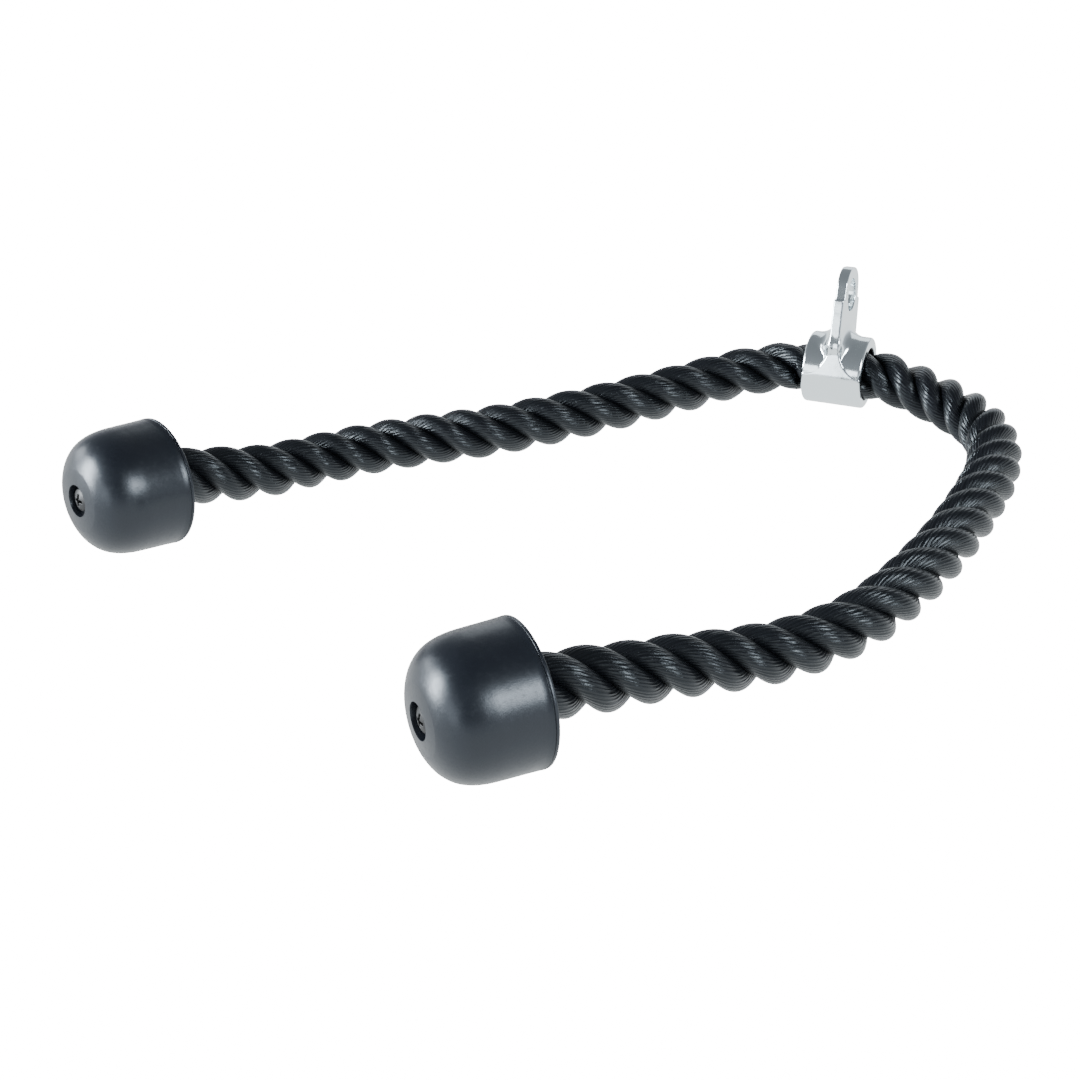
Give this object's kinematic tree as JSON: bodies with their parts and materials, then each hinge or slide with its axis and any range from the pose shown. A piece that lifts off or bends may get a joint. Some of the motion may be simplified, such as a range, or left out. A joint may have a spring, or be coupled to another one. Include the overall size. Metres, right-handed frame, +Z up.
{
  "type": "triceps rope attachment",
  "caption": "Thick twisted rope through a plated eye clamp, lying in a bent U with a domed rubber end cap screwed on each end; hangs from a cable machine as a pull-down handle.",
  "frame": {"origin": "on the floor, under the middle of the box round the clamp and the two caps, without the free rope", "axes": "+X runs along the clamp's collar and its eye hole, away from the far cap; +Z is up; the arms come from the clamp towards -Y, where the caps lie"},
  "size_m": [0.4048, 0.412, 0.0715],
  "materials": {
    "clamp_plating": "bright plated casting",
    "rope": "black three-strand polyester rope, glossy filaments",
    "cap_rubber": "satin moulded rubber",
    "fastener_steel": "zinc-plated steel",
    "steel_band": "plain crimped steel"
  },
  "bodies": {
    "clamp": {"eye_clamp": "clamp_plating", "rope_core": "rope"},
    "far_inner_arm": {"far_root_flex": "rope", "far_inner_rope": "rope"},
    "near_inner_arm": {"near_root_flex": "rope", "near_inner_rope": "rope"},
    "far_outer_arm": {"far_mid_flex": "rope", "far_outer_rope": "rope", "far_rope_end": "rope", "far_end_band": "steel_band", "far_end_cap": "cap_rubber", "far_washer": "fastener_steel", "far_screw": "fastener_steel"},
    "near_outer_arm": {"near_mid_flex": "rope", "near_outer_rope": "rope", "near_rope_end": "rope", "near_end_band": "steel_band", "near_end_cap": "cap_rubber", "near_washer": "fastener_steel", "near_screw": "fastener_steel"}
  },
  "joints": [
    {"name": "far_root_bend", "type": "hinge", "parent": "clamp", "child": "far_inner_arm", "pos_m": [0.10358, 0.17156, 0.0162], "axis": [0, -1, 0], "range_deg": [-75, 75], "deforming": ["far_root_flex"]},
    {"name": "far_mid_bend", "type": "hinge", "parent": "far_inner_arm", "child": "far_outer_arm", "pos_m": [-0.01789, 0.05403, 0.0131], "axis": [0, 0, 1], "range_deg": [-60, 20], "deforming": ["far_mid_flex"]},
    {"name": "near_root_bend", "type": "hinge", "parent": "clamp", "child": "near_inner_arm", "pos_m": [0.17772, 0.17301, 0.01665], "axis": [0, 1, 0], "range_deg": [-75, 75], "deforming": ["near_root_flex"]},
    {"name": "near_mid_bend", "type": "hinge", "parent": "near_inner_arm", "child": "near_outer_arm", "pos_m": [0.2241, -0.00183, 0.0131], "axis": [0, 0, 1], "range_deg": [-20, 60], "deforming": ["near_mid_flex"]}
  ]
}
